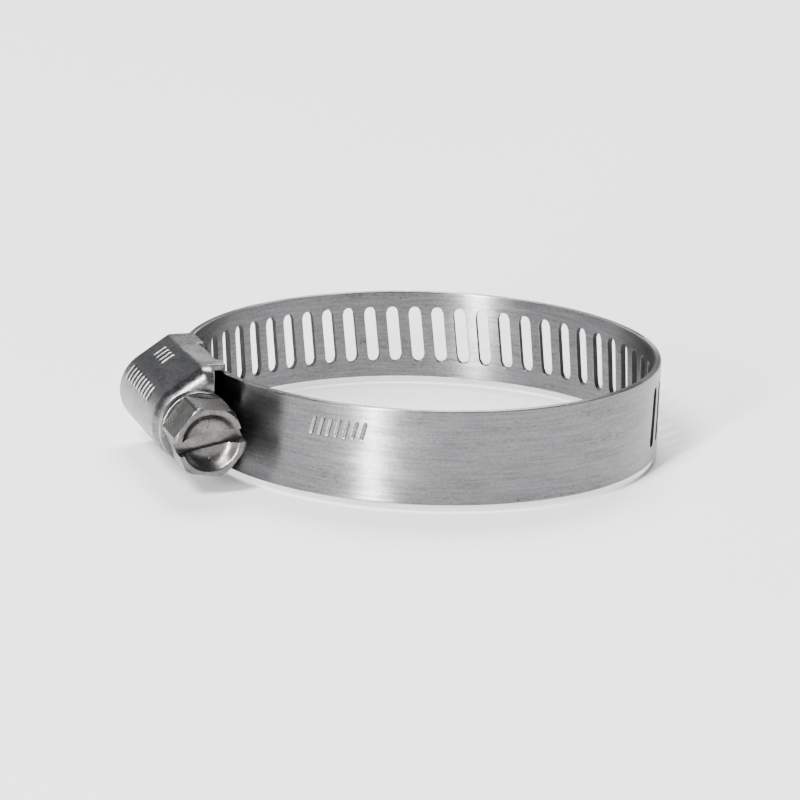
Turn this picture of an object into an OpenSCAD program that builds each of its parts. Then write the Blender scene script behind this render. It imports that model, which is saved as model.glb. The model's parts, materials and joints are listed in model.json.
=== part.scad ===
// Worm-drive hose clamp with a perforated band, for hoses of up to 38 mm.
// The clamped hose runs along Z through the origin. The housing sits on the -X side and the
// screw head faces -Y. The band runs from under the housing round -Y, +X and +Y and back in.

/* [Band] */
// Inner radius of the loop where the hose sits
loop_r = 19.25; // [18.5:0.05:20.5]
// Width of the strip
band_w = 7.9; // [7.5:0.1:7.9]
// Thickness of the strip
band_t = 0.55; // [0.5:0.01:0.56]
// Clear space between the plain end and the perforated end above it
layer_gap = 0.05; // [0.05:0.01:0.06]
// How much wider the arc that leads into the housing is than the loop
wide_extra = 1.6; // [1.58:0.01:1.62]

/* [Perforation] */
// Distance from one slot to the next, equal to the pitch of the worm
slot_pitch = 2.06; // [2.06:0.01:2.08]
// Length of a slot, rounded ends included
slot_len = 5.1; // [4.4:0.1:5.4]
// Width of a slot
slot_w = 1.1; // [1.0:0.05:1.15]
// Lean of a slot from the loop's axis, equal to the worm's lead angle
slot_tilt = 7; // [6:0.5:8]
// Number of slots in the loop, from the first one to the housing
loop_slots = 35; // [20:1:35]

/* [Housing] */
// Thickness of the pressed sheet
sheet_t = 0.55; // [0.5:0.01:0.6]
// Half of the housing's width, over its side walls
housing_half_w = 4.6; // [4.55:0.05:4.8]
// Outer radius of the barrel round the worm
barrel_r = 3.35; // [3.3:0.05:3.45]
// Direction in which the barrel passes into its straight shoulders
shoulder_angle = 56; // [50:1:58]
// Distance from the middle of the housing to the mouth that the band enters
entry_len = 6.1; // [5.5:0.1:6.4]
// Distance from the middle of the housing to the front ends of its side walls
wall_front = 4.25; // [3.5:0.05:4.5]
// Distance from the middle of the housing to its closed front, round the screw's neck
barrel_front = 6.1; // [5.9:0.05:6.1]
// Half length of the two lips that fold in under the band
lip_half_len = 2.6; // [2:0.1:2.6]
// Half of the gap between the two lips
lip_gap = 2.4; // [2.2:0.1:3]

/* [Worm screw] */
// Distance from the loop's axis to the screw's axis
screw_axis = 22.1; // [22.1:0.05:22.3]
// Radius over the thread
thread_r = 2.15; // [2.05:0.05:2.2]
// Radius of the core and of the neck that turns in the housing
core_r = 1.55; // [1.4:0.05:1.55]
// Running clearance between the neck and the housing
neck_clear = 0.07; // [0.04:0.01:0.1]
// Radius of the round collar behind the head
collar_r = 3.15; // [3:0.05:3.2]
// Thickness of the collar
collar_t = 1.05; // [0.8:0.05:1.2]
// Distance across the flats of the hexagon
hex_af = 5.5; // [5.4:0.1:5.7]
// Height of the hexagon
hex_h = 3.9; // [3.5:0.1:4.2]
// Width of the screwdriver slot
drive_w = 1.15; // [0.8:0.05:1.3]
// Depth of the screwdriver slot below the head's rim
drive_d = 1.3; // [1.1:0.1:2]
// Turn of the hexagon about the screw's axis at rest
hex_turn = 8; // [0:1:60]
// Turn of the screwdriver slot from the direction of the loop's axis to the screw's, at rest
drive_turn = -11; // [-90:1:90]

/* [Hidden] */
$fn = 96;
// Overlap that makes one solid of shapes that only touch
EPS = 0.02;

// Middle surface of the strip: the round loop, and the straight layer above it in the housing
mid_r = loop_r + band_t / 2;
tail_mid = mid_r + band_t + layer_gap;
wall_foot = loop_r - 0.18;
root_end_y = 3;

// On the entry side a wider arc and a tight bend lift the loop to the tail's level. They run into
// each other tangentially. The wider arc starts at +Y, and the bend turns through the small angle
// of the right triangle with sides 44, 117 and 125, whose sine and cosine are short decimals.
entry_cos = 0.936;
entry_sin = 0.352;
entry_bend = atan2(entry_sin, entry_cos);
wide_r = mid_r + wide_extra;
bend_r = (tail_mid - entry_cos * wide_r) / (1 - entry_cos);
bend_x = bend_r - tail_mid;
bend_y = (wide_r - bend_r) * entry_sin - wide_extra;

// Lengths along the middle surface, counted from the +X side of the loop towards +Y
len_round = mid_r * 90 * PI / 180;
len_wide = wide_r * (90 - entry_bend) * PI / 180;
len_bend = bend_r * entry_bend * PI / 180;
len_to_straight = len_round + len_wide + len_bend;
// One slot lies at phase, and the others at whole pitches from it
phase = 0.675;
slots_before_phase = 6;
cut_root = phase - slot_pitch / 2;
cut_angle = cut_root / mid_r * 180 / PI;
tail_slots = 3;
first_tail_slot = phase + (loop_slots - slots_before_phase) * slot_pitch;
cut_tail_y = bend_y + len_to_straight - first_tail_slot + slot_pitch / 2;
tail_end_land = 0.3;
tail_end_y = cut_tail_y - tail_slots * slot_pitch - tail_end_land;
face_gap = 0.02;
notch_gap = 0.08;

// Thread, whose crest meets the middle of a slot on the side that faces the band
thread_crest_angle = 38;
thread_flank = 18;
thread_root_r = core_r + 0.06;
thread_step = 20;
thread_head_y = -4.4;
thread_tip_y = 5;
crest_y = cut_tail_y - 1.5 * slot_pitch;
screw_tip_y = 5.6;
screw_tip_r = core_r - 0.25;

// Screw head
collar_y = -(barrel_front + 0.1);
hex_y = collar_y - collar_t;
face_y = hex_y - hex_h;
hex_r = hex_af / 2 / cos(30);
hex_round_r = 3.08;
face_r = 2.95;
chamfer_h = 0.2;
dish_r = 2.35;
dish_floor_r = 1.5;
dish_d = 0.9;

// Neck of the housing
neck_r = core_r + neck_clear;
// Steps of the rounded edge of the front: how far in, and how far behind the front
front_steps = [[0, 0.6], [0.25, 0.25], [0.7, 0]];
skirt_n = tail_mid + band_t / 2 + 0.1;

// Moves a child from (outwards from the loop, up, towards the entry side) into the clamp's frame
module at_housing() {
    rotate([90, 0, 180]) children();
}

// A round stretch of the strip, of less than half a turn, between two directions from its centre
module arc_strip(centre, r, from, to) {
    far = 2 * r;
    translate([centre[0], centre[1], 0])
        difference() {
            cylinder(h = band_w, r = r + band_t / 2, center = true);
            cylinder(h = 2 * band_w, r = r - band_t / 2, center = true);
            rotate([0, 0, from]) translate([-far, -far, -band_w]) cube([2 * far, far, 2 * band_w]);
            rotate([0, 0, to]) translate([-far, 0, -band_w]) cube([2 * far, far, 2 * band_w]);
        }
}

// A straight stretch of the strip at the tail's level in the housing
module straight_strip(y_from, y_to) {
    translate([-tail_mid - band_t / 2, y_from, -band_w / 2])
        cube([band_t, y_to - y_from, band_w]);
}

// Cutter for one slot through a strip whose surface faces +X at the origin
module slot_cutter() {
    half = (slot_len - slot_w) / 2;
    rotate([-slot_tilt, 0, 0]) {
        translate([-band_t, -slot_w / 2, -half])
            cube([2 * band_t, slot_w, 2 * half]);
        for (side = [-1, 1])
            translate([-band_t, 0, side * half])
                rotate([0, 90, 0])
                    cylinder(h = 2 * band_t, d = slot_w, $fn = 24);
    }
}

// Carries a child to a place on the strip, given as a length along its middle surface
module on_strip(u) {
    if (u < len_round)
        rotate([0, 0, u / mid_r * 180 / PI])
            translate([mid_r, 0, 0])
                children();
    else if (u < len_round + len_wide)
        translate([0, -wide_extra, 0])
            rotate([0, 0, 90 + (u - len_round) / wide_r * 180 / PI])
                translate([wide_r, 0, 0])
                    children();
    else if (u < len_to_straight)
        translate([bend_x, bend_y, 0])
            rotate([0, 0, 180 - (len_to_straight - u) / bend_r * 180 / PI])
                translate([bend_r, 0, 0])
                    children();
    else
        translate([-tail_mid, bend_y - (u - len_to_straight), 0])
            rotate([0, 0, 180])
                children();
}

// Plain end of the strip: locked between the housing's lips, then round -Y to the +X side
module band_root() {
    end_angle = 180 - asin(root_end_y / mid_r);
    notch_h = band_w - lip_gap;
    color("gainsboro")
        difference() {
            rotate([0, 0, end_angle])
                rotate_extrude(angle = 360 + cut_angle - end_angle)
                    translate([loop_r, -band_w / 2])
                        square([band_t, band_w]);
            // Notches that the lips fold into
            for (z = [lip_gap - notch_gap, -lip_gap + notch_gap - notch_h])
                translate([-mid_r - band_t, -lip_half_len - notch_gap, z])
                    cube([2 * band_t, 2 * (lip_half_len + notch_gap), notch_h]);
            for (i = [1 : slots_before_phase])
                on_strip(phase - i * slot_pitch) slot_cutter();
        }
}

// Perforated back of the loop, from the +X side to the inside of the housing's entry
module band_loop() {
    color("silver")
        difference() {
            union() {
                arc_strip([0, 0], mid_r, cut_angle, 90);
                arc_strip([0, -wide_extra], wide_r, 90, 180 - entry_bend);
                arc_strip([bend_x, bend_y], bend_r, 180 - entry_bend, 180);
                straight_strip(cut_tail_y + face_gap, bend_y);
            }
            for (i = [0 : loop_slots - slots_before_phase - 1])
                on_strip(phase + i * slot_pitch) slot_cutter();
        }
}

// Perforated end of the strip inside the housing, in mesh with the worm
module band_tail() {
    color("silver")
        difference() {
            straight_strip(tail_end_y, cut_tail_y);
            for (i = [0 : tail_slots - 1])
                on_strip(first_tail_slot + i * slot_pitch) slot_cutter();
        }
}

// Outline of the housing's section: barrel, shoulders and side walls, shrunk by a wall's thickness
module housing_outline(inset) {
    r = barrel_r - inset;
    half_w = housing_half_w - inset;
    tangent_n = screw_axis + r * cos(shoulder_angle);
    tangent_z = r * sin(shoulder_angle);
    corner_n = tangent_n - (half_w - tangent_z) * tan(shoulder_angle);
    foot_n = inset > 0 ? wall_foot - 1 : wall_foot;
    translate([screw_axis, 0]) circle(r);
    polygon([
        [foot_n, -half_w], [corner_n, -half_w], [tangent_n, -tangent_z],
        [tangent_n, tangent_z], [corner_n, half_w], [foot_n, half_w]
    ]);
}

// Closed front of the housing: the section's outline in steps that stand for a rounded edge, with
// the hole for the screw's neck. It ends above the band.
module housing_front() {
    difference() {
        for (step = front_steps)
            translate([0, 0, -barrel_front + step[1]])
                linear_extrude(barrel_front - step[1] - wall_front + EPS)
                    housing_outline(step[0]);
        translate([0, 0, -barrel_front + sheet_t])
            linear_extrude(barrel_front)
                housing_outline(sheet_t);
        translate([screw_axis, 0, -barrel_front - 1])
            cylinder(h = barrel_front, r = neck_r);
        translate([skirt_n - 2 * barrel_r, -2 * housing_half_w, -barrel_front - 1])
            cube([2 * barrel_r, 4 * housing_half_w, barrel_front + 1]);
    }
}

// One-piece pressed housing: barrel over the worm, walls down both edges of the band, folded lips
module housing() {
    color("lightgray")
        at_housing() {
            translate([0, 0, -wall_front])
                linear_extrude(wall_front + entry_len)
                    difference() {
                        housing_outline(0);
                        housing_outline(sheet_t);
                    }
            for (side = [-1, 1])
                translate([wall_foot, side < 0 ? -housing_half_w : lip_gap, -lip_half_len])
                    cube([sheet_t, housing_half_w - lip_gap, 2 * lip_half_len]);
            housing_front();
        }
}

// Radius of the thread's cross-section, at an angle from the middle of the crest
function thread_section(a) =
    let (flank_angle = (thread_r - thread_root_r) * tan(thread_flank) / slot_pitch * 360)
    max(thread_root_r, thread_r - (thread_r - thread_root_r)
        * max(0, abs(a) - thread_crest_angle) / flank_angle);

// Right-hand thread: its cross-section, extruded and turned once in every pitch
module thread() {
    height = thread_tip_y - thread_head_y;
    crest_at_start = 180 - (crest_y - thread_head_y) / slot_pitch * 360;
    translate([0, 0, thread_head_y])
        rotate([0, 0, crest_at_start])
            linear_extrude(
                height = height,
                twist = -height / slot_pitch * 360,
                slices = ceil(height / slot_pitch * 360 / thread_step),
                $fn = 360 / thread_step
            )
                polygon([
                    for (a = [-180 : thread_step : 179])
                        thread_section(a) * [cos(a), sin(a)]
                ]);
}

// Half section of everything on the screw that is round, from the tip to the collar
module screw_profile() {
    edge = 0.15;
    polygon([
        [0, screw_tip_y], [screw_tip_r - edge, screw_tip_y], [screw_tip_r, screw_tip_y - edge],
        [screw_tip_r, 0], [core_r, 0], [core_r, collar_y],
        [collar_r - edge, collar_y], [collar_r, collar_y - edge],
        [collar_r, hex_y + edge], [collar_r - edge, hex_y], [0, hex_y]
    ]);
}

// Hexagon with rounded corners and a chamfered face, a conical dish and the screwdriver slot
module hex_head() {
    difference() {
        intersection() {
            rotate([0, 0, hex_turn])
                cylinder(h = hex_h + EPS, r = hex_r, $fn = 6);
            rotate_extrude()
                polygon([
                    [0, 0], [hex_round_r, 0], [hex_round_r, hex_h - chamfer_h],
                    [face_r, hex_h + EPS], [0, hex_h + EPS]
                ]);
        }
        translate([0, 0, hex_h + EPS - dish_d])
            cylinder(h = dish_d, r1 = dish_floor_r, r2 = dish_r);
        rotate([0, 0, drive_turn])
            translate([-hex_r - 1, -drive_w / 2, hex_h + EPS - drive_d])
                cube([2 * (hex_r + 1), drive_w, drive_d + 1]);
    }
}

// Worm screw: core, right-hand thread, neck, collar and slotted hexagon head in one piece
module worm_screw() {
    color("darkgray")
        at_housing()
            translate([screw_axis, 0, 0]) {
                rotate_extrude() screw_profile();
                thread();
                translate([0, 0, hex_y + EPS])
                    mirror([0, 0, 1])
                        hex_head();
            }
}

housing();
worm_screw();
band_root();
band_loop();
band_tail();
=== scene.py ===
"""Looks of the worm-drive hose clamp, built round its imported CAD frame.

Axes as in the frame: +Z along the hose, the housing on the -X side, the screw head towards -Y.
Lengths are in metres. The band is built in its own coordinates: u along its middle surface from the
+X side of the loop towards +Y, z up, and off outwards from the middle surface.
"""

import json
import math

import bmesh
import bpy
import numpy as np
from mathutils import Matrix, Vector


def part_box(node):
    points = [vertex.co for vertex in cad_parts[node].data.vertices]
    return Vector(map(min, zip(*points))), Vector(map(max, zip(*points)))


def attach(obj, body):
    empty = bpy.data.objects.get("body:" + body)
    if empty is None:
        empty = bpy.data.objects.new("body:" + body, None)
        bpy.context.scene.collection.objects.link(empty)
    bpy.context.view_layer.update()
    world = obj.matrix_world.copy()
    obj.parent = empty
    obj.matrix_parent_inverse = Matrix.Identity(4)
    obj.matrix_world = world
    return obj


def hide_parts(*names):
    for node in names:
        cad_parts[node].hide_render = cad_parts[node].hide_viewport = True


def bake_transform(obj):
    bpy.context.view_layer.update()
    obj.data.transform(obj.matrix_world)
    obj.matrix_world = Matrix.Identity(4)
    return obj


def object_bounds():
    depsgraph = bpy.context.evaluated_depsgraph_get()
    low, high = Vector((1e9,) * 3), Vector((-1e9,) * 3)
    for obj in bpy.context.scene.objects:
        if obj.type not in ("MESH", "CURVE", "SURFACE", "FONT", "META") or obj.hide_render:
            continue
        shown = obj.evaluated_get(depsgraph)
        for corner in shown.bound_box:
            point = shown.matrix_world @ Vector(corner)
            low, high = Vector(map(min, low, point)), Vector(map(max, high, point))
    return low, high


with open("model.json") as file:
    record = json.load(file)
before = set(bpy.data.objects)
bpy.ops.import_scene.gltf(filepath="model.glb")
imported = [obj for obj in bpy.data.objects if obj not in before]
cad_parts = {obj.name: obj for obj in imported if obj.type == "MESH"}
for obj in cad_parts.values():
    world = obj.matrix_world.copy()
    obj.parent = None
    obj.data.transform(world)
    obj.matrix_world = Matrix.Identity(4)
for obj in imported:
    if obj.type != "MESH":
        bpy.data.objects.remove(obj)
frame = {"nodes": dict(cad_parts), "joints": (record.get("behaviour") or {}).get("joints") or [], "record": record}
cad_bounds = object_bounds()

MM = 0.001
record = frame["record"]
joints = {j["name"]: j for j in frame["joints"]}
mounts = {m["name"]: m for m in record["mounts"]}

# ---- sizes from the frame

TAIL_LO, TAIL_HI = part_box("band_tail")
HOUSING_LO, HOUSING_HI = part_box("housing")
SCREW_LO, SCREW_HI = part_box("worm_screw")
BORE_R = mounts["hose_bore"]["dims"]["r_mm"] * MM
BAND_T = TAIL_HI.x - TAIL_LO.x
BAND_W = TAIL_HI.z - TAIL_LO.z
MID_R = BORE_R + BAND_T / 2
TAIL_MID = -(TAIL_LO.x + TAIL_HI.x) / 2
PITCH = 2 * math.pi / record["behaviour"]["couplings"][0]["ratio"]
AXIS_N = -joints["screw_turn"]["pos_m"][0]
FACE_Y = SCREW_LO.y
TIP_Y = SCREW_HI.y
ENTRY_Q = HOUSING_HI.y
FRONT_Q = HOUSING_LO.y
HALF_W = HOUSING_HI.z
BARREL_R = -HOUSING_LO.x - AXIS_N
FOOT_N = -HOUSING_HI.x

# ---- sizes repeated from the part

WIDE_EXTRA = 1.6 * MM
ENTRY_COS = 0.936
ENTRY_SIN = 0.352
SLOT_LEN = 5.1 * MM
SLOT_W = 1.1 * MM
SLOT_TILT = math.radians(7)
FIRST_SLOT_U = 0.675 * MM
FRONT_SLOTS = range(-6, 0)
BACK_SLOTS = range(0, 29)
TAIL_SLOTS = range(29, 32)
ROOT_END_Y = 3 * MM
NOTCH_Y = 2.68 * MM
TONGUE_HALF = 2.32 * MM
SHEET_T = 0.55 * MM
SHOULDER_ANGLE = math.radians(56)
WALL_FRONT_Q = -4.25 * MM
LIP_HALF_LEN = 2.6 * MM
LIP_GAP = 2.4 * MM
SKIRT_N = TAIL_MID + BAND_T / 2 + 0.1 * MM
NECK_R = 1.55 * MM
THREAD_R = 2.15 * MM
THREAD_ROOT_R = 1.61 * MM
THREAD_CREST_Y = -0.343 * MM
THREAD_END_Y = 5.0 * MM
COLLAR_R = 3.15 * MM
COLLAR_Y = -6.2 * MM
HEX_Y = -7.25 * MM
HEX_FLAT = 2.75 * MM
HEX_ROUND_R = 3.08 * MM
HEX_TURN = math.radians(-8)
DRIVE_TURN = math.radians(11)
DRIVE_W = 1.15 * MM
DRIVE_D = 1.3 * MM

# ---- sizes seen only in the looks

EDGE_ROUND = 0.13 * MM
SLOT_EDGE = 0.05 * MM
SLOT_STEPS = 6
SLOT_SHARE = 0.7
STRIP_ROWS = 13
TICK_STEP = 0.085 * MM
SLOPE_STEP = 0.01 * MM
WALL_STEP = 0.1 * MM
SHOULDER_ROUND = 0.75 * MM
LIP_ROUND = 1.45 * MM
FOLD_R = 0.75 * MM
RIB_H = 0.14 * MM
RIB_HALF_W = 0.2 * MM
NECK_PLAY = 0.07 * MM
WORM_START_Y = -4.75 * MM
WORM_STOP_Y = THREAD_END_Y + 0.35 * MM
THREAD_STEP = 0.085 * MM
SCREW_EDGE = 0.16 * MM
CUT_REACH = 1 * MM
FLOOR_STEPS = 96
TOUCH = 1e-7

# ---- the strip's path

WIDE_R = MID_R + WIDE_EXTRA
ENTRY_BEND = math.atan2(ENTRY_SIN, ENTRY_COS)
BEND_R = (TAIL_MID - ENTRY_COS * WIDE_R) / (1 - ENTRY_COS)
BEND_X = BEND_R - TAIL_MID
BEND_Y = (WIDE_R - BEND_R) * ENTRY_SIN - WIDE_EXTRA
LEN_ROUND = MID_R * math.pi / 2
LEN_WIDE = LEN_ROUND + WIDE_R * (math.pi / 2 - ENTRY_BEND)
LEN_BEND = LEN_WIDE + BEND_R * ENTRY_BEND


def strip_frame(u):
    """Place on the middle surface, direction along it and direction outwards, for an array of u."""
    angle = np.select(
        [u < LEN_ROUND, u < LEN_WIDE, u < LEN_BEND],
        [
            u / MID_R,
            math.pi / 2 + (u - LEN_ROUND) / WIDE_R,
            math.pi - (LEN_BEND - u) / BEND_R,
        ],
        math.pi,
    )
    radius = np.select([u < LEN_ROUND, u < LEN_WIDE, u < LEN_BEND], [MID_R, WIDE_R, BEND_R], TAIL_MID)
    centre_x = np.select([u < LEN_WIDE, u < LEN_BEND], [0, BEND_X], 0)
    centre_y = np.select(
        [u < LEN_ROUND, u < LEN_WIDE, u < LEN_BEND],
        [0, -WIDE_EXTRA, BEND_Y],
        BEND_Y - (u - LEN_BEND),
    )
    zero = np.zeros_like(angle)
    out = np.stack([np.cos(angle), np.sin(angle), zero], -1)
    along = np.stack([-np.sin(angle), np.cos(angle), zero], -1)
    place = np.stack([centre_x, centre_y, zero], -1) + radius[:, None] * out
    return place, along, out


def slot_u(k):
    """Where the middle of slot k lies along the strip."""
    return FIRST_SLOT_U + k * PITCH


def slot_outline(k, rows, grow):
    """Outline of slot k, grown by a margin, as (u, z) points in step with its cell's border."""
    radius = SLOT_W / 2
    straight = (SLOT_LEN - SLOT_W) / 2
    reach = straight + SLOT_SHARE * radius
    start = math.asin(SLOT_SHARE)
    r = radius + grow
    flank = []
    for z in rows[1:-1]:
        h = z * reach / (BAND_W / 2 - EDGE_ROUND)
        over = max(0, abs(h) - straight) * r / radius
        h = math.copysign(min(abs(h), straight) + over, h)
        flank.append((math.sqrt(r * r - over * over), h))
    points = []
    for a in np.linspace(-math.pi + start, -start, SLOT_STEPS + 1):
        points.append((r * math.cos(a), -straight + r * math.sin(a)))
    points += flank
    for a in np.linspace(start, math.pi - start, SLOT_STEPS + 1):
        points.append((r * math.cos(a), straight + r * math.sin(a)))
    points += [(-x, h) for x, h in reversed(flank)]
    c, s = math.cos(SLOT_TILT), math.sin(SLOT_TILT)
    return [(slot_u(k) + x * c + h * s, -x * s + h * c) for x, h in points]


def ring_normals(ring):
    """Normals of a slot's wall, which look into the slot."""
    normals = []
    for i, behind in enumerate(ring[-1:] + ring[:-1]):
        ahead = ring[(i + 1) % len(ring)]
        d = Vector((ahead[0] - behind[0], ahead[1] - behind[1])).normalized()
        normals.append((-d.y, d.x, 0))
    return normals


class StripMesh:
    """Collects closed strip geometry in the strip's own coordinates."""

    def __init__(self):
        self.index = {}
        self.places = []
        self.normals = []
        self.slot_wall = []
        self.faces = []
        self.flat = []

    def vert(self, u, z, off, normal, slot_wall=0.0):
        """Index of the vertex at a place. sheared is 1 on the walls of the slots."""
        key = (round(u * 1e8), round(z * 1e8), round(off * 1e8))
        if key not in self.index:
            self.index[key] = len(self.places)
            self.places.append((u, z, off))
            self.normals.append(normal)
            self.slot_wall.append(slot_wall)
        return self.index[key]

    def face(self, corners, flip=False, flat=None):
        """Adds a face. flat gives it one normal of its own instead of its vertices' normals."""
        corners = list(dict.fromkeys(corners))
        if len(corners) < 3:
            return
        self.faces.append(corners[::-1] if flip else corners)
        self.flat.append(flat)

    def edge_chain(self, u, half, side):
        """Six vertices round the rolled edge of the strip, from its outer to its inner surface."""
        top = BAND_T / 2
        turn = EDGE_ROUND * (1 - math.sqrt(0.5))
        diag = math.sqrt(0.5)
        steps = [
            (half - EDGE_ROUND, top, (0, 0, 1)),
            (half - turn, top - turn, (0, side * diag, diag)),
            (half, top - EDGE_ROUND, (0, side, 0)),
        ]
        steps += [(z, -off, (0, n[1], -n[2])) for z, off, n in reversed(steps)]
        return [self.vert(u, side * z, off, n) for z, off, n in steps]

    def edges(self, u_a, half_a, u_b, half_b):
        """Rolled edges between two places along the strip."""
        for side in (1, -1):
            a = self.edge_chain(u_a, half_a, side)
            b = self.edge_chain(u_b, half_b, side)
            for i in range(5):
                self.face([a[i], b[i], b[i + 1], a[i + 1]], flip=side < 0)

    def cap(self, u, half, rows, end):
        """Flat end of the strip. rows are heights on the surface, and end is 1 or -1."""
        top = BAND_T / 2
        ring = [self.vert(u, z, top, (0, 0, 1)) for z in rows]
        ring += self.edge_chain(u, half, 1)
        ring += [self.vert(u, z, -top, (0, 0, -1)) for z in reversed(rows)]
        ring += self.edge_chain(u, half, -1)[::-1]
        self.face(ring, flip=end > 0, flat=(end, 0, 0))

    def cell(self, k, u_from, u_to, rows):
        """One slot and the land round it."""
        half = BAND_W / 2
        inner_half = half - EDGE_ROUND
        top = BAND_T / 2
        us = np.linspace(u_from, u_to, SLOT_STEPS + 1)
        border = [(u, -inner_half) for u in us]
        border += [(u_to, z) for z in rows[1:-1]]
        border += [(u, inner_half) for u in reversed(us)]
        border += [(u_from, z) for z in reversed(rows[1:-1])]
        wall = slot_outline(k, rows, 0)
        grown = slot_outline(k, rows, SLOT_EDGE)
        middle = [((a[0] + b[0]) / 2, (a[1] + b[1]) / 2) for a, b in zip(grown, border)]
        count = len(border)
        wall_normals = ring_normals(wall)
        walls = {}
        for side in (1, -1):
            deep = side * (top - SLOT_EDGE)
            rings = [[self.vert(*p, deep, n, 1.0) for p, n in zip(wall, wall_normals)]]
            for points in (grown, middle, border):
                rings.append([self.vert(*p, side * top, (0, 0, side)) for p in points])
            walls[side] = rings[0]
            for near, far in zip(rings, rings[1:]):
                for i in range(count):
                    j = (i + 1) % count
                    self.face([near[i], far[i], far[j], near[j]], flip=side < 0)
        for i in range(count):
            j = (i + 1) % count
            self.face([walls[1][i], walls[1][j], walls[-1][j], walls[-1][i]])
        for a, b in zip(us, us[1:]):
            self.edges(a, half, b, half)

    def plain(self, columns, rows_of, half_of, depth):
        """Unperforated strip. depth(u, z) is how far the outer surface is pressed in."""
        top = BAND_T / 2
        full = BAND_W / 2 - EDGE_ROUND

        def surface(u, half, z, side):
            z = z * (half - EDGE_ROUND) / full
            if side < 0:
                return self.vert(u, z, -top, (0, 0, -1))
            step = SLOPE_STEP
            d = depth(u, z)
            slope_u = (depth(u + step, z) - depth(u - step, z)) / (2 * step)
            slope_z = (depth(u, z + step) - depth(u, z - step)) / (2 * step)
            n = Vector((slope_u, slope_z, 1)).normalized()
            return self.vert(u, z, top - d, tuple(n))

        for a, b in zip(columns, columns[1:]):
            half_a, half_b = half_of(a), half_of(b)
            rows_a, rows_b = rows_of(a), rows_of(b)
            shared = [z for z in rows_a if z in rows_b]
            for lo, hi in zip(shared, shared[1:]):
                near = [z for z in rows_a if lo <= z <= hi]
                far = [z for z in rows_b if lo <= z <= hi]
                for side in (1, -1):
                    ring = [surface(b, half_b, z, side) for z in far]
                    ring += [surface(a, half_a, z, side) for z in reversed(near)]
                    self.face(ring, flip=side < 0)
            self.edges(a, half_a, b, half_b)

    def build(self, name, material):
        """Bends the strip into its path and makes the object."""
        local = np.array(self.places)
        place, along, out = strip_frame(local[:, 0])
        world = place + out * local[:, 2:3]
        world[:, 2] = local[:, 1]
        n = np.array(self.normals, float)
        up = np.array([0, 0, 1.0])
        normals = n[:, 0:1] * along + n[:, 2:3] * out + n[:, 1:2] * up
        obj = add_object(name, world.tolist(), self.faces, material)
        mesh = obj.data
        corner = np.zeros(len(mesh.loops), int)
        mesh.loops.foreach_get("vertex_index", corner)
        loop_normals = normals[corner]
        for polygon, flat in zip(mesh.polygons, self.flat):
            if flat:
                first = polygon.loop_start
                for loop in range(first, first + polygon.loop_total):
                    loop_normals[loop] = flat[0] * along[corner[loop]]
        mesh.polygons.foreach_set("use_smooth", [True] * len(mesh.polygons))
        mesh.normals_split_custom_set(loop_normals.tolist())
        mesh.attributes.new("slot_wall", "FLOAT", "POINT").data.foreach_set("value", self.slot_wall)
        uv = mesh.uv_layers.new(name="strip")
        uv.data.foreach_set("uv", (local[corner][:, :2] / (10 * MM)).ravel())
        return obj


def add_object(name, verts, faces, material):
    """Makes a mesh object of one material and puts it in the scene."""
    mesh = bpy.data.meshes.new(name)
    mesh.from_pydata(verts, [], faces)
    mesh.materials.append(material)
    obj = bpy.data.objects.new(name, mesh)
    bpy.context.scene.collection.objects.link(obj)
    return obj


# ---- materials


def new_material(name):
    """A material with its node tree and its shader."""
    material = bpy.data.materials.new(name)
    material.use_nodes = True
    tree = material.node_tree
    return material, tree, tree.nodes["Principled BSDF"]


def node(tree, kind, **values):
    """Adds a node and sets its properties."""
    n = tree.nodes.new(kind)
    for key, value in values.items():
        setattr(n, key, value)
    return n


def noise(tree, vector, scale, stretch=(1, 1, 1), detail=3, roughness=0.5, distortion=0):
    """Noise in stretched coordinates; scale is in cells per unit of the vector."""
    mapping = node(tree, "ShaderNodeMapping")
    mapping.inputs["Scale"].default_value = stretch
    tree.links.new(vector, mapping.inputs["Vector"])
    n = node(tree, "ShaderNodeTexNoise")
    n.inputs["Scale"].default_value = scale
    n.inputs["Detail"].default_value = detail
    n.inputs["Roughness"].default_value = roughness
    n.inputs["Distortion"].default_value = distortion
    tree.links.new(mapping.outputs["Vector"], n.inputs["Vector"])
    return n.outputs["Fac"]


def spread(tree, value, low, high, out_low, out_high):
    """Maps low..high to out_low..out_high, clamped."""
    n = node(tree, "ShaderNodeMapRange")
    n.inputs["From Min"].default_value = low
    n.inputs["From Max"].default_value = high
    n.inputs["To Min"].default_value = out_low
    n.inputs["To Max"].default_value = out_high
    tree.links.new(value, n.inputs["Value"])
    return n.outputs["Result"]


def math_node(tree, operation, a, b):
    """Sum or product of two sockets or numbers."""
    n = node(tree, "ShaderNodeMath", operation=operation)
    for socket, value in zip(n.inputs, (a, b)):
        if isinstance(value, (int, float)):
            socket.default_value = value
        else:
            tree.links.new(value, socket)
    return n.outputs["Value"]


def mixed_colour(tree, factor, low, high):
    """Colour between low at factor 0 and high at factor 1, each a colour or a socket."""
    n = node(tree, "ShaderNodeMix", data_type="RGBA")
    tree.links.new(factor, n.inputs["Factor"])
    for socket, value in ((n.inputs["A"], low), (n.inputs["B"], high)):
        if isinstance(value, tuple):
            socket.default_value = (*value, 1)
        else:
            tree.links.new(value, socket)
    return n.outputs["Result"]


def add_bump(tree, shader, height, distance, strength):
    """Fine relief on a shader. distance is in metres."""
    n = node(tree, "ShaderNodeBump")
    n.inputs["Distance"].default_value = distance
    n.inputs["Strength"].default_value = strength
    tree.links.new(height, n.inputs["Height"])
    tree.links.new(n.outputs["Normal"], shader.inputs["Normal"])


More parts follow.
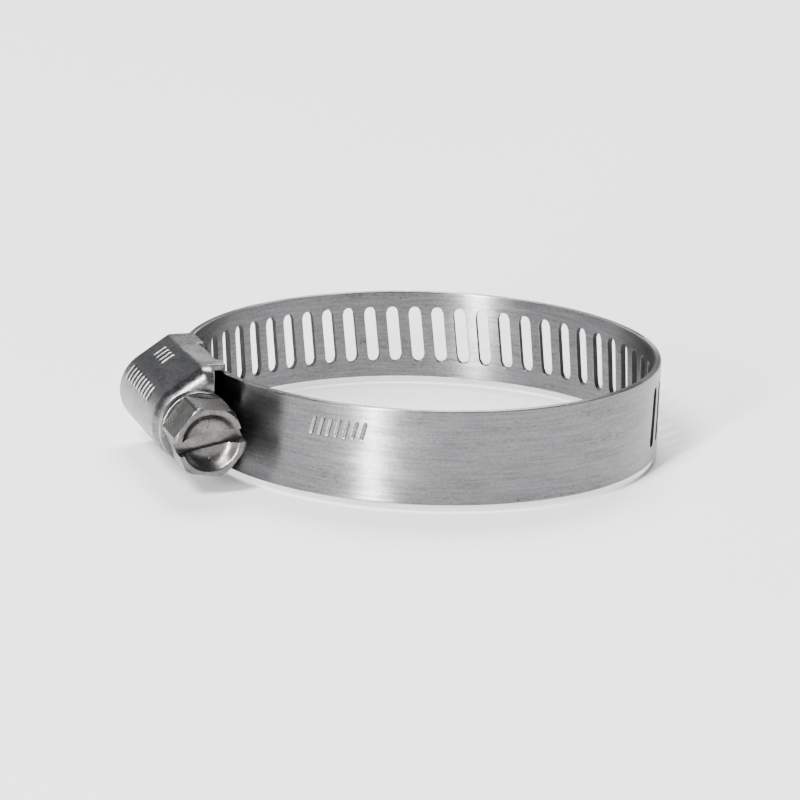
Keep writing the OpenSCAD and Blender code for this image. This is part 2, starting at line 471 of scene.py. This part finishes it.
def band_steel():
    """Rolled stainless strip: streaks along its length, smudges, broken dark rubs, grain and pits, with painted
    shade on the walls of the slots.
    """
    material, tree, shader = new_material("band_steel")
    uv = node(tree, "ShaderNodeUVMap", uv_map="strip").outputs["UV"]
    streaks = noise(tree, uv, 1, (2.2, 42, 1), detail=5, roughness=0.65)
    fine = noise(tree, uv, 1, (12, 170, 1), detail=3, roughness=0.7)
    smudges = noise(tree, uv, 3.5, (0.8, 1.6, 1), detail=4, roughness=0.6, distortion=0.6)
    rubs = noise(tree, uv, 1, (1.1, 6, 1), detail=3, roughness=0.6, distortion=0.4)
    broken = noise(tree, uv, 1, (16, 42, 1), detail=3, roughness=0.7)
    grain = noise(tree, uv, 40, (1, 1, 1), detail=4, roughness=0.8)
    pits = noise(tree, uv, 22, (1, 1.3, 1), detail=1)
    streak_tone = spread(tree, streaks, 0.3, 0.7, 0, 0.4)
    grain_tone = spread(tree, grain, 0.3, 0.7, 0, 0.4)
    tone = math_node(tree, "ADD", streak_tone, grain_tone)
    tone = math_node(tree, "ADD", tone, spread(tree, smudges, 0.3, 0.7, 0, 0.2))
    base = mixed_colour(tree, tone, (0.07, 0.072, 0.077), (0.33, 0.33, 0.335))
    rub_share = spread(tree, rubs, 0.5, 0.66, 0, 1)
    broken_share = spread(tree, broken, 0.45, 0.62, 0, 0.6)
    rubbed = math_node(tree, "MULTIPLY", rub_share, broken_share)
    base = mixed_colour(tree, rubbed, base, (0.085, 0.078, 0.066))
    pitted = spread(tree, pits, 0.755, 0.79, 0, 0.8)
    base = mixed_colour(tree, pitted, base, (0.05, 0.045, 0.04))
    slot_wall = node(tree, "ShaderNodeAttribute", attribute_name="slot_wall").outputs["Fac"]
    # The walls of the slots are darkened almost to black: painted shade in the slots.
    wall_shade = math_node(tree, "MULTIPLY", slot_wall, 0.85)
    base = mixed_colour(tree, wall_shade, base, (0.055, 0.055, 0.055))
    tree.links.new(base, shader.inputs["Base Color"])
    smudge_rough = spread(tree, smudges, 0.3, 0.7, 0.31, 0.38)
    streak_rough = spread(tree, streaks, 0.3, 0.7, -0.03, 0.03)
    rough = math_node(tree, "ADD", smudge_rough, streak_rough)
    rough = math_node(tree, "ADD", rough, math_node(tree, "MULTIPLY", slot_wall, 0.3))
    tree.links.new(rough, shader.inputs["Roughness"])
    shader.inputs["Metallic"].default_value = 1
    shader.inputs["Anisotropic"].default_value = 0.9
    shader.inputs["Anisotropic Rotation"].default_value = 0.25
    tangent = node(tree, "ShaderNodeTangent", direction_type="RADIAL", axis="Z")
    tree.links.new(tangent.outputs["Tangent"], shader.inputs["Tangent"])
    fine_height = spread(tree, fine, 0.2, 0.8, 0, 1)
    streak_height = spread(tree, streaks, 0.2, 0.8, 0, 0.6)
    height = math_node(tree, "ADD", fine_height, streak_height)
    add_bump(tree, shader, height, 0.006 * MM, 0.35)
    return material


def object_coordinates(tree):
    """The frame's coordinates in centimetres."""
    coordinate = node(tree, "ShaderNodeTexCoord").outputs["Object"]
    scale = node(tree, "ShaderNodeVectorMath", operation="SCALE")
    scale.inputs["Scale"].default_value = 100
    tree.links.new(coordinate, scale.inputs[0])
    return scale.outputs["Vector"]


def housing_steel():
    """Bright pressed sheet, with long fine scratches, scuffs, a slight orange peel, and rib crests painted near
    white, partly as wear and partly as a painted highlight.
    """
    material, tree, shader = new_material("housing_steel")
    place = object_coordinates(tree)
    drawn = noise(tree, place, 1, (34, 5, 34), detail=4, roughness=0.7, distortion=0.3)
    scuffs = noise(tree, place, 1, (14, 60, 14), detail=4, roughness=0.75, distortion=0.8)
    smudges = noise(tree, place, 7, detail=4, roughness=0.6, distortion=0.4)
    grain = noise(tree, place, 42, detail=4, roughness=0.8)
    drawn_tone = spread(tree, drawn, 0.3, 0.7, 0, 0.3)
    grain_tone = spread(tree, grain, 0.3, 0.7, 0, 0.4)
    tone = math_node(tree, "ADD", drawn_tone, grain_tone)
    tone = math_node(tree, "ADD", tone, spread(tree, scuffs, 0.5, 0.7, 0, 0.4))
    base = mixed_colour(tree, tone, (0.05, 0.052, 0.057), (0.3, 0.3, 0.305))
    raised = node(tree, "ShaderNodeAttribute", attribute_name="raised").outputs["Fac"]
    # The crests of the ribs are painted near white: partly wear polish, partly a painted highlight.
    wear_and_highlight = spread(tree, raised, 0.25, 0.75, 0, 1)
    base = mixed_colour(tree, wear_and_highlight, base, (0.85, 0.85, 0.86))
    tree.links.new(base, shader.inputs["Base Color"])
    smudge_rough = spread(tree, smudges, 0.3, 0.7, 0.24, 0.34)
    scuff_rough = spread(tree, scuffs, 0.5, 0.75, 0, 0.1)
    rough = math_node(tree, "ADD", smudge_rough, scuff_rough)
    rough = math_node(tree, "ADD", rough, math_node(tree, "MULTIPLY", wear_and_highlight, 0.22))
    tree.links.new(rough, shader.inputs["Roughness"])
    shader.inputs["Metallic"].default_value = 1
    shader.inputs["Anisotropic"].default_value = 0.35
    drawn_height = spread(tree, drawn, 0.2, 0.8, 0, 1)
    scuff_height = spread(tree, scuffs, 0.3, 0.8, 0, 0.8)
    height = math_node(tree, "ADD", drawn_height, scuff_height)
    add_bump(tree, shader, height, 0.012 * MM, 0.4)
    return material


def screw_steel():
    """Cold-formed screw: satin, slightly warm, with a fine grain and darker stains."""
    material, tree, shader = new_material("screw_steel")
    place = object_coordinates(tree)
    stains = noise(tree, place, 9, detail=5, roughness=0.65, distortion=0.5)
    grain = noise(tree, place, 46, detail=4, roughness=0.8)
    dents = noise(tree, place, 34, detail=2)
    stain_tone = spread(tree, stains, 0.3, 0.7, 0, 0.6)
    grain_tone = spread(tree, grain, 0.25, 0.75, 0, 0.4)
    tone = math_node(tree, "ADD", stain_tone, grain_tone)
    base = mixed_colour(tree, tone, (0.05, 0.048, 0.047), (0.2, 0.193, 0.187))
    tree.links.new(base, shader.inputs["Base Color"])
    rough = spread(tree, stains, 0.3, 0.7, 0.34, 0.24)
    tree.links.new(rough, shader.inputs["Roughness"])
    shader.inputs["Metallic"].default_value = 1
    dent_height = spread(tree, dents, 0.2, 0.8, 0, 1)
    grain_height = spread(tree, grain, 0.2, 0.8, 0, 0.4)
    height = math_node(tree, "ADD", dent_height, grain_height)
    add_bump(tree, shader, height, 0.02 * MM, 0.35)
    return material


def floor_paper():
    """Matt, nearly white studio paper."""
    material, tree, shader = new_material("floor_paper")
    place = object_coordinates(tree)
    mottle = noise(tree, place, 0.2, detail=3)
    base = mixed_colour(tree, mottle, (0.86, 0.86, 0.865), (0.9, 0.9, 0.9))
    tree.links.new(base, shader.inputs["Base Color"])
    shader.inputs["Roughness"].default_value = 0.9
    shader.inputs["Specular IOR Level"].default_value = 0.1
    return material


# ---- band


def tick_depth(u, z):
    """A row of short slanted strokes stamped near the top edge of the plain front."""
    first, gap, count = -46.4 * MM, 0.72 * MM, 7
    half_len, half_width, deep = 0.62 * MM, 0.16 * MM, 0.09 * MM
    centre_z = 1.85 * MM
    lean = 0.25
    x = u - lean * (z - centre_z)
    i = min(max(round((x - first) / gap), 0), count - 1)
    over = max(0.0, abs(z - centre_z) - half_len)
    d = math.hypot(x - first - i * gap, over) / half_width
    return deep * (1 - d * d) ** 2 if d < 1 else 0.0


def build_front_strip(material):
    """Plain end under the housing, the plain front with its strokes, and the first six slots."""
    half = BAND_W / 2
    inner_half = half - EDGE_ROUND
    strip = StripMesh()
    coarse = [round(z, 9) for z in np.linspace(-inner_half, inner_half, STRIP_ROWS)]
    tick_rows = [round(z, 9) for z in np.arange(0.98 * MM, 2.74 * MM, TICK_STEP)]
    fine = sorted(set(coarse) | set(tick_rows))
    tick_from, tick_to = -47.2 * MM, -41.2 * MM

    def half_of(u):
        y = MID_R * math.sin(u / MID_R)
        in_notch = math.cos(u / MID_R) < 0 and abs(y) <= NOTCH_Y + TOUCH
        return TONGUE_HALF if in_notch else half

    def rows_of(u):
        return fine if tick_from - 1e-9 <= u <= tick_to + 1e-9 else coarse

    def u_at(y):
        return -(math.pi + math.asin(y / MID_R)) * MID_R

    step = 0.05 * MM
    seam = slot_u(FRONT_SLOTS[0]) - PITCH / 2
    start = u_at(ROOT_END_Y)
    notch_a, notch_b = u_at(NOTCH_Y), u_at(-NOTCH_Y)
    columns = [start, notch_a - step]
    columns += list(np.linspace(notch_a, notch_b, 12))
    columns += list(np.linspace(notch_b + step, tick_from, 30))
    columns += list(np.arange(tick_from, tick_to, TICK_STEP))[1:]
    columns += list(np.linspace(tick_to, seam, 86))
    strip.plain(columns, rows_of, half_of, tick_depth)
    strip.cap(start, half, coarse, -1)
    for k in FRONT_SLOTS:
        strip.cell(k, slot_u(k) - PITCH / 2, slot_u(k) + PITCH / 2, coarse)
    strip.cap(slot_u(FRONT_SLOTS[-1]) + PITCH / 2, half, coarse, 1)
    return strip.build("band_front", material)


def build_slotted_strip(name, slots, end_land, material):
    """A run of slots, with end_land of plain strip after the last one."""
    half = BAND_W / 2
    strip = StripMesh()
    rows = [round(z, 9) for z in np.linspace(-half + EDGE_ROUND, half - EDGE_ROUND, STRIP_ROWS)]
    for k in slots:
        extra = end_land if k == slots[-1] else 0
        strip.cell(k, slot_u(k) - PITCH / 2, slot_u(k) + PITCH / 2 + extra, rows)
    strip.cap(slot_u(slots[0]) - PITCH / 2, half, rows, -1)
    strip.cap(slot_u(slots[-1]) + PITCH / 2 + end_land, half, rows, 1)
    return strip.build(name, material)


# ---- housing


def at_housing(n, z, q):
    """Place n out from the loop's axis, z up and q along the screw."""
    return Vector((-n, q, z))


def wall_profile():
    """Outer line of the housing's section for z >= 0, from the barrel's crown to the side wall's end.

    Returns (n, z) points. The last one lies where the wall folds into a lip or runs down to its foot.
    """
    a = SHOULDER_ANGLE
    tangent = Vector((AXIS_N + BARREL_R * math.cos(a), BARREL_R * math.sin(a)))
    corner = Vector((tangent.x - (HALF_W - tangent.y) * math.tan(a), HALF_W))
    points = []
    for t in np.linspace(0, a, 34):
        points.append((AXIS_N + BARREL_R * math.cos(t), BARREL_R * math.sin(t)))
    turn = math.pi / 2 - a
    reach = SHOULDER_ROUND * math.tan(turn / 2)
    down = (corner - tangent).normalized()
    begin = corner - down * reach
    length = (begin - tangent).length
    for t in np.arange(WALL_STEP, length, WALL_STEP):
        p = tangent + down * t
        points.append((p.x, p.y))
    centre = Vector((corner.x - reach, HALF_W - SHOULDER_ROUND))
    for t in np.linspace(a, math.pi / 2, 8):
        across, up = SHOULDER_ROUND * math.cos(t), SHOULDER_ROUND * math.sin(t)
        points.append((centre.x + across, centre.y + up))
    for n in np.linspace(centre.x, SKIRT_N, 6)[1:]:
        points.append((n, HALF_W))
    for n in np.linspace(SKIRT_N, FOOT_N + FOLD_R, 5)[1:]:
        points.append((n, HALF_W))
    return points


def rib_height(s, q):
    """Two patches of short parallel ribs pressed out of the shoulder. s runs along the section."""
    total = 0.0
    patches = (
        (4.95 * MM, 1.15 * MM, 4, 0.85 * MM, 0.5 * MM),
        (1.95 * MM, -2.2 * MM, 9, 0.85 * MM, 0.55 * MM),
    )
    for centre_s, first_q, count, gap, half_len in patches:
        i = min(max(round((q - first_q) / gap), 0), count - 1)
        over = max(0.0, abs(s - centre_s) - half_len)
        d = math.hypot(q - first_q - i * gap, over) / RIB_HALF_W
        if d < 1:
            total = max(total, RIB_H * (1 - d * d) ** 2)
    return total


class SheetMesh:
    """Collects the outer surface of the pressed sheet in the housing's coordinates."""

    def __init__(self):
        self.index = {}
        self.verts = []
        self.faces = []
        self.raised = {}

    def vert(self, n, z, q):
        """Index of the vertex at a place."""
        key = (round(n * 1e8), round(z * 1e8), round(q * 1e8))
        if key not in self.index:
            self.index[key] = len(self.verts)
            self.verts.append(at_housing(n, z, q))
        return self.index[key]

    def quads(self, grid):
        """Faces between the rows of a grid of vertices."""
        for row_a, row_b in zip(grid, grid[1:]):
            for i in range(len(row_a) - 1):
                ring = list(dict.fromkeys([row_a[i], row_b[i], row_b[i + 1], row_a[i + 1]]))
                if len(ring) > 2:
                    self.faces.append(ring)


def wall_columns():
    """Places along the screw where the sheet has a row of vertices."""
    cuts = [WALL_FRONT_Q, -LIP_HALF_LEN, LIP_HALF_LEN, ENTRY_Q]
    qs = []
    for a, b in zip(cuts, cuts[1:]):
        qs += list(np.linspace(a, b, int((b - a) / WALL_STEP) + 1))[:-1]
    return [round(q, 9) for q in qs + [ENTRY_Q]]


def add_section(sheet, profile, qs):
    """Barrel, shoulders and side walls, with the ribs raised on them."""
    steps = np.diff(np.array(profile), axis=0)
    lengths = np.concatenate([[0], np.cumsum(np.hypot(*steps.T))])
    lengths -= lengths[-1] / 2
    grid = []
    for j, (n, z) in enumerate(profile):
        before = profile[max(j - 1, 0)]
        after = profile[min(j + 1, len(profile) - 1)]
        d = Vector((after[0] - before[0], after[1] - before[1])).normalized()
        out_n, out_z = d.y, -d.x
        row = []
        for q in qs:
            h = rib_height(lengths[j], q)
            row.append(sheet.vert(n + out_n * h, z + out_z * h, q))
            sheet.raised[row[-1]] = h / RIB_H
        grid.append(row)
    sheet.quads(grid)


def add_feet_and_lips(sheet, qs):
    """Straight feet of the side walls, and the lips that fold in between them."""
    feet = [q for q in qs if q <= -LIP_HALF_LEN + TOUCH]
    feet_back = [q for q in qs if q >= LIP_HALF_LEN - TOUCH]
    lips = [q for q in qs if abs(q) <= LIP_HALF_LEN + TOUCH]
    for side in (-1, 1):
        down = [(n, side * HALF_W) for n in np.linspace(FOOT_N + FOLD_R, FOOT_N, 6)]
        turned = []
        for t in np.linspace(0, math.pi / 2, 9):
            n = FOOT_N + FOLD_R * (1 - math.sin(t))
            turned.append((n, side * (HALF_W - FOLD_R * (1 - math.cos(t)))))
        for z in np.linspace(HALF_W - FOLD_R, LIP_GAP, 8)[1:]:
            turned.append((FOOT_N, side * z))
        for line, columns in ((down, feet), (down, feet_back), (turned, lips)):
            rows = [[sheet.vert(n, z, q) for q in columns] for n, z in line]
            sheet.quads(rows if side > 0 else rows[::-1])


def front_row(start, target):
    """(place, q) points from the wall round the front's bend and in to the neck's hole."""
    towards = (target - start).normalized()
    length = (target - start).length
    row = [(start, q) for q in np.linspace(WALL_FRONT_Q, FRONT_Q + LIP_ROUND, 9)]
    for t in np.linspace(0, math.pi / 2, 13)[1:]:
        inward = LIP_ROUND * (1 - math.cos(t))
        row.append((start + towards * inward, FRONT_Q + LIP_ROUND * (1 - math.sin(t))))
    for inward in np.linspace(LIP_ROUND, length, 7)[1:]:
        row.append((start + towards * inward, FRONT_Q))
    return row


def add_front(sheet, profile):
    """Front, which follows the section above the band and closes round the neck."""
    hole = NECK_R + NECK_PLAY
    edge = [p for p in profile if p[0] >= SKIRT_N - 1e-9]
    last = math.atan2(edge[-1][1], edge[-1][0] - AXIS_N)
    hole_last = math.acos((SKIRT_N - AXIS_N) / hole)
    front = []
    for n, z in edge:
        angle = math.atan2(z, n - AXIS_N) * hole_last / last
        target = Vector((AXIS_N + hole * math.cos(angle), hole * math.sin(angle)))
        row = front_row(Vector((n, z)), target)
        front.append([sheet.vert(p.x, p.y, round(q, 9)) for p, q in row])
    sheet.quads([row[::-1] for row in front])


def build_housing(material):
    """One pressed sheet, as its outer surface thickened inwards."""
    sheet = SheetMesh()
    half = wall_profile()
    profile = [(n, -z) for n, z in reversed(half)][:-1] + half
    qs = wall_columns()
    add_section(sheet, profile, qs)
    add_feet_and_lips(sheet, qs)
    add_front(sheet, profile)
    obj = add_object("housing_sheet", sheet.verts, sheet.faces, material)
    values = [sheet.raised.get(i, 0.0) for i in range(len(sheet.verts))]
    obj.data.attributes.new("raised", "FLOAT", "POINT").data.foreach_set("value", values)
    tidy_normals(obj, centre=at_housing(AXIS_N, 0, 0))
    solid = obj.modifiers.new("thickness", "SOLIDIFY")
    solid.thickness = SHEET_T
    solid.offset = -1
    solid.use_even_offset = False
    bevel = obj.modifiers.new("edges", "BEVEL")
    bevel.width = 0.07 * MM
    bevel.segments = 2
    bevel.limit_method = "ANGLE"
    bevel.angle_limit = math.radians(80)
    bevel.use_clamp_overlap = False
    return obj


def tidy_normals(obj, centre):
    """Makes all faces agree, and turns them away from the given point."""
    bm = bmesh.new()
    bm.from_mesh(obj.data)
    bmesh.ops.recalc_face_normals(bm, faces=bm.faces)
    crown = min(bm.faces, key=lambda f: f.calc_center_median().x)
    if crown.normal.dot(crown.calc_center_median() - centre) < 0:
        bmesh.ops.reverse_faces(bm, faces=bm.faces)
    for face in bm.faces:
        face.smooth = True
    bm.to_mesh(obj.data)
    bm.free()


def agree_normals(obj):
    """Turns all faces of a closed mesh outwards."""
    bm = bmesh.new()
    bm.from_mesh(obj.data)
    bmesh.ops.recalc_face_normals(bm, faces=bm.faces)
    bm.to_mesh(obj.data)
    bm.free()


# ---- screw


def round_point(r, angle, y):
    """Place at a radius and angle round the screw's axis."""
    return Vector((-AXIS_N + r * math.cos(angle), y, r * math.sin(angle)))


def lathe(name, rings, steps, material):
    """Closed solid from rings of (y, radius or radius(angle)), from one end to the other."""
    verts = []
    for y, radius in rings:
        for i in range(steps):
            a = 2 * math.pi * i / steps
            r = radius(a) if callable(radius) else radius
            verts.append(round_point(r, a, y))
    faces = []
    for j in range(len(rings) - 1):
        for i in range(steps):
            k = (i + 1) % steps
            faces.append((j * steps + i, j * steps + k, (j + 1) * steps + k, (j + 1) * steps + i))
    verts += [round_point(0, 0, rings[0][0]), round_point(0, 0, rings[-1][0])]
    last = (len(rings) - 1) * steps
    for i in range(steps):
        k = (i + 1) % steps
        faces.append((len(verts) - 2, k, i))
        faces.append((len(verts) - 1, last + i, last + k))
    obj = add_object(name, verts, faces, material)
    agree_normals(obj)
    return obj


def combine(target, tool, operation):
    """Cuts or keeps the part of target inside tool, and removes tool."""
    cut = target.modifiers.new("cut", "BOOLEAN")
    cut.object = tool
    cut.operation = operation
    cut.solver = "EXACT"
    bpy.context.view_layer.update()
    graph = bpy.context.evaluated_depsgraph_get()
    mesh = bpy.data.meshes.new_from_object(target.evaluated_get(graph))
    target.modifiers.clear()
    target.data = mesh
    bpy.data.objects.remove(tool)


def add_box(name, lo, hi, material, turn):
    """Box between two corners given as (x from the screw's axis, y, z), turned about that axis."""
    verts = []
    for x in (lo[0], hi[0]):
        for y in (lo[1], hi[1]):
            for z in (lo[2], hi[2]):
                c, s = math.cos(turn), math.sin(turn)
                verts.append(Vector((-AXIS_N + x * c - z * s, y, x * s + z * c)))
    faces = [(0, 1, 3, 2), (4, 6, 7, 5), (0, 4, 5, 1), (2, 3, 7, 6), (0, 2, 6, 4), (1, 5, 7, 3)]
    return add_object(name, verts, faces, material)


def thread_radius(y):
    """Radius of the worm round its axis at a place along it."""
    crest, flank = 30.0, 42.0
    runout_tip = max(0.0, (WORM_STOP_Y - y) / (0.5 * MM))
    runout_neck = max(0.0, (y - WORM_START_Y) / (0.4 * MM))
    fade = min(1.0, runout_tip, runout_neck)

    def radius(angle):
        phase = 360 * ((y - THREAD_CREST_Y) / PITCH + angle / (2 * math.pi))
        phase = abs((phase + 180) % 360 - 180)
        t = min(1.0, max(0.0, (phase - crest) / flank))
        shape = 1 - t * t * (3 - 2 * t)
        return THREAD_ROOT_R + (THREAD_R - THREAD_ROOT_R) * shape * fade

    return radius


def build_shaft(material):
    """Tip, worm, neck and round collar."""
    edge = SCREW_EDGE
    tip_r = NECK_R - 0.25 * MM
    rings = [(TIP_Y, tip_r - edge), (TIP_Y - edge * 0.3, tip_r - edge * 0.3), (TIP_Y - edge, tip_r)]
    for y in np.arange(WORM_STOP_Y, WORM_START_Y, -THREAD_STEP):
        rings.append((y, thread_radius(y)))
    rings.append((-4.85 * MM, NECK_R))
    rings.append((COLLAR_Y, NECK_R))
    for y, sign in ((COLLAR_Y, -1), (HEX_Y, 1)):
        arc = []
        for t in np.linspace(0, math.pi / 2, 5):
            along = sign * edge * (1 - math.cos(t))
            arc.append((y + along, COLLAR_R - edge * (1 - math.sin(t))))
        rings += arc if sign < 0 else arc[::-1]
    obj = lathe("worm_shaft", rings, 72, material)
    for face in obj.data.polygons:
        face.use_smooth = True
    return obj


def hexagon(corner, material):
    """Plain hexagonal block, as far as the face of the head."""
    verts = []
    for y in (HEX_Y + 0.05 * MM, FACE_Y):
        for i in range(6):
            verts.append(round_point(corner, math.radians(60 * i) + HEX_TURN, y))
    faces = [tuple(range(6))[::-1], tuple(range(6, 12))]
    faces += [(i, (i + 1) % 6, 6 + (i + 1) % 6, 6 + i) for i in range(6)]
    head = add_object("worm_head", verts, faces, material)
    agree_normals(head)
    return head


def face_rings(table):
    """Rings of a lathed tool from (depth below the face, radius) in millimetres."""
    return [(FACE_Y + depth * MM, radius * MM) for depth, radius in table]


def cut_slots(head, corner, material):
    """Cuts the screwdriver slot and two small radial nicks."""
    half = DRIVE_W / 2
    reach = corner + CUT_REACH
    lo, hi = (-reach, FACE_Y - CUT_REACH, -half), (reach, FACE_Y + DRIVE_D, half)
    combine(head, add_box("slot", lo, hi, material, DRIVE_TURN), "DIFFERENCE")
    lo = (1.05 * MM, FACE_Y - CUT_REACH, -0.1 * MM)
    hi = (1.75 * MM, FACE_Y + 1.02 * MM, 0.1 * MM)
    for turn in (math.radians(93), math.radians(-85)):
        combine(head, add_box("nick", lo, hi, material, turn), "DIFFERENCE")


def merge_flats(head):
    """Joins the slivers that the cuts leave, and smooths the shading."""
    bm = bmesh.new()
    bm.from_mesh(head.data)
    bmesh.ops.remove_doubles(bm, verts=bm.verts, dist=0.015 * MM)
    bmesh.ops.dissolve_limit(bm, angle_limit=math.radians(0.6), verts=bm.verts, edges=bm.edges)
    for face in bm.faces:
        face.smooth = True
    bm.to_mesh(head.data)
    bm.free()


def build_head(material):
    """Chamfered hexagon with a rim, a dished face, the screwdriver slot and two small radial nicks."""
    corner = HEX_FLAT / math.cos(math.radians(30))
    head = hexagon(corner, material)
    steps = 96
    chamfer = [
        (HEX_Y + 1 * MM, HEX_ROUND_R),
        (FACE_Y + 0.35 * MM, HEX_ROUND_R),
        (FACE_Y + 0.14 * MM, HEX_ROUND_R - 0.06 * MM),
        (FACE_Y, HEX_ROUND_R - 0.24 * MM),
    ]
    combine(head, lathe("chamfer", chamfer, steps, material), "INTERSECT")
    dish = face_rings((
        (-1, 2.62),
        (0, 2.5),
        (0.06, 2.38),
        (0.2, 2.25),
        (0.5, 2.02),
        (0.75, 1.72),
        (0.87, 1.35),
        (0.9, 0.8),
    ))
    combine(head, lathe("dish", dish, steps, material), "DIFFERENCE")
    cut_slots(head, corner, material)
    merge_flats(head)
    bevel = head.modifiers.new("edges", "BEVEL")
    bevel.width = 0.09 * MM
    bevel.segments = 3
    bevel.limit_method = "ANGLE"
    bevel.angle_limit = math.radians(30)
    head.modifiers.new("normals", "WEIGHTED_NORMAL").keep_sharp = True
    return head


# ---- stage


def build_floor(material):
    """A wide round floor under the lowest point of the clamp."""
    level = cad_bounds[0][2]
    steps = FLOOR_STEPS
    verts = [(0, 0, level)]
    radii = (0.1, 0.3, 1.0, 2.5)
    for r in radii:
        for i in range(steps):
            a = 2 * math.pi * i / steps
            verts.append((r * math.cos(a), r * math.sin(a), level))
    faces = [(0, 1 + i, 1 + (i + 1) % steps) for i in range(steps)]
    for j in range(len(radii) - 1):
        a, b = 1 + j * steps, 1 + (j + 1) * steps
        for i in range(steps):
            k = (i + 1) % steps
            faces.append((a + i, b + i, b + k, a + k))
    floor = add_object("floor", verts, faces, material)


def add_area_light(name, azimuth, elevation, distance, size, energy):
    """Rectangular light that faces the clamp. Azimuth is counted from +X towards +Y."""
    data = bpy.data.lights.new(name, "AREA")
    data.shape = "RECTANGLE"
    data.size, data.size_y = size
    data.energy = energy
    light = bpy.data.objects.new(name, data)
    bpy.context.scene.collection.objects.link(light)
    a, e = math.radians(azimuth), math.radians(elevation)
    direction = Vector((math.cos(a) * math.cos(e), math.sin(a) * math.cos(e), math.sin(e)))
    light.location = direction * distance
    light.rotation_euler = direction.to_track_quat("Z", "Y").to_euler()


def add_world():
    """A bright band near the horizon with a dim room above it."""
    world = bpy.data.worlds.new("studio")
    world.use_nodes = True
    bpy.context.scene.world = world
    tree = world.node_tree
    direction = node(tree, "ShaderNodeTexCoord").outputs["Generated"]
    split = node(tree, "ShaderNodeSeparateXYZ")
    tree.links.new(direction, split.inputs["Vector"])
    ramp = node(tree, "ShaderNodeValToRGB")
    elements = ramp.color_ramp.elements
    elements[0].position, elements[0].color = 0.18, (0.9, 0.9, 0.9, 1)
    elements[1].position, elements[1].color = 0.36, (0.1, 0.104, 0.115, 1)
    high = elements.new(0.8)
    high.color = (0.16, 0.16, 0.17, 1)
    tree.links.new(split.outputs["Z"], ramp.inputs["Fac"])
    background = tree.nodes["Background"]
    tree.links.new(ramp.outputs["Color"], background.inputs["Color"])
    background.inputs["Strength"].default_value = 0.9


def turned_pair(a, b, angle):
    """Two perpendicular directions, turned in their plane so that a moves towards b."""
    c, s = math.cos(angle), math.sin(angle)
    return c * a + s * b, c * b - s * a


def add_camera():
    """The photograph's view: a long lens from in front and above, turned a little about its axis."""
    azimuth, elevation = math.radians(-18.81), math.radians(15.66)
    distance = 318.13 * MM
    target = Vector((-0.4 * MM, 0, 0))
    level = math.cos(elevation)
    back = Vector((math.sin(azimuth) * level, -math.cos(azimuth) * level, math.sin(elevation)))
    forward = -back
    right = forward.cross(Vector((0, 0, 1))).normalized()
    up = right.cross(forward)
    yaw, pitch, roll = math.radians(-0.343), math.radians(-0.132), math.radians(2.109)
    forward, right = turned_pair(forward, right, yaw)
    forward, up = turned_pair(forward, up, pitch)
    right, up = turned_pair(right, up, roll)
    data = bpy.data.cameras.new("camera")
    data.sensor_width = 36
    data.lens = 167.75
    data.clip_start = 0.005
    data.clip_end = 20
    camera = bpy.data.objects.new("camera", data)
    bpy.context.scene.collection.objects.link(camera)
    place = target + back * distance
    turned = Matrix((right, up, -forward)).transposed().to_4x4()
    camera.matrix_world = Matrix.Translation(place) @ turned
    bpy.context.scene.camera = camera


# ---- assembly

band = band_steel()
housing = housing_steel()
screw = screw_steel()
for name, material in (
    ("housing", housing),
    ("worm_screw", screw),
    ("band_root", band),
    ("band_loop", band),
    ("band_tail", band),
):
    cad = frame["nodes"][name]
    cad.data.materials.clear()
    cad.data.materials.append(material)

front = build_front_strip(band)
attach(front, "clamp_body")
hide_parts("band_root")

back = build_slotted_strip("band_back", BACK_SLOTS, 0, band)
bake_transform(back)
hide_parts("band_loop")

tail = build_slotted_strip("band_end_strip", TAIL_SLOTS, 0.3 * MM, band)
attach(tail, "band_end")
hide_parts("band_tail")

sheet = build_housing(housing)
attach(sheet, "clamp_body")
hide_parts("housing")

for piece in (build_shaft(screw), build_head(screw)):
    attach(piece, "screw")
    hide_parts("worm_screw")

build_floor(floor_paper())
add_world()
add_area_light("strip_light", 226, 10, 1.0, (0.07, 0.5), 32)
add_area_light("key_light", 221, 48, 1.2, (0.24, 0.5), 30)
add_area_light("back_light", 68, 52, 1.3, (0.7, 0.7), 30)
add_camera()
